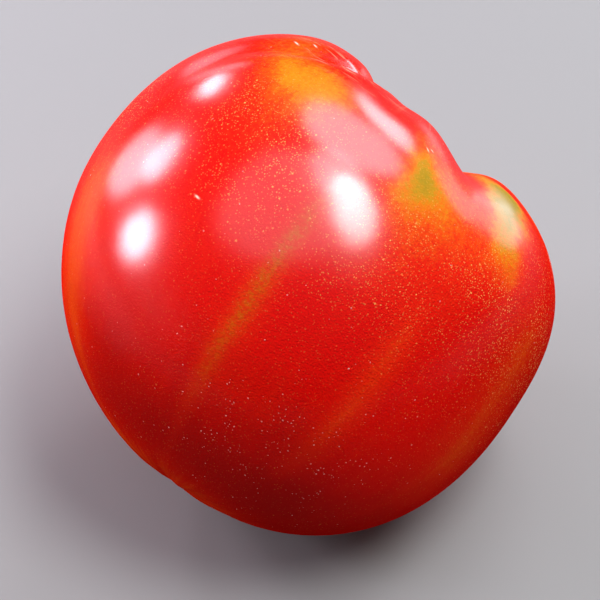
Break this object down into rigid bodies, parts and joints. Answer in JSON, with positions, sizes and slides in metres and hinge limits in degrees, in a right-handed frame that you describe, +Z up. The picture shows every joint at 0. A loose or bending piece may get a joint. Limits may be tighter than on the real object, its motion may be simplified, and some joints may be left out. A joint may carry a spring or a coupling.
{
  "type": "tomato",
  "caption": "Large ribbed red tomato lying on its side, with deep furrowed shoulders round a sunken stem scar and a small puckered blossom scar.",
  "frame": {"origin": "middle of the small flat spot that the fruit rests on, at floor height", "axes": "+Z up; the stem end points up and to +X and +Y, and the blossom end points down and to -X and -Y"},
  "size_m": [0.1119, 0.1118, 0.1085],
  "materials": {
    "skin": "glossy waxy skin, red with orange and green shoulders"
  },
  "bodies": {
    "root": {"tomato": "skin"}
  },
  "joints": []
}
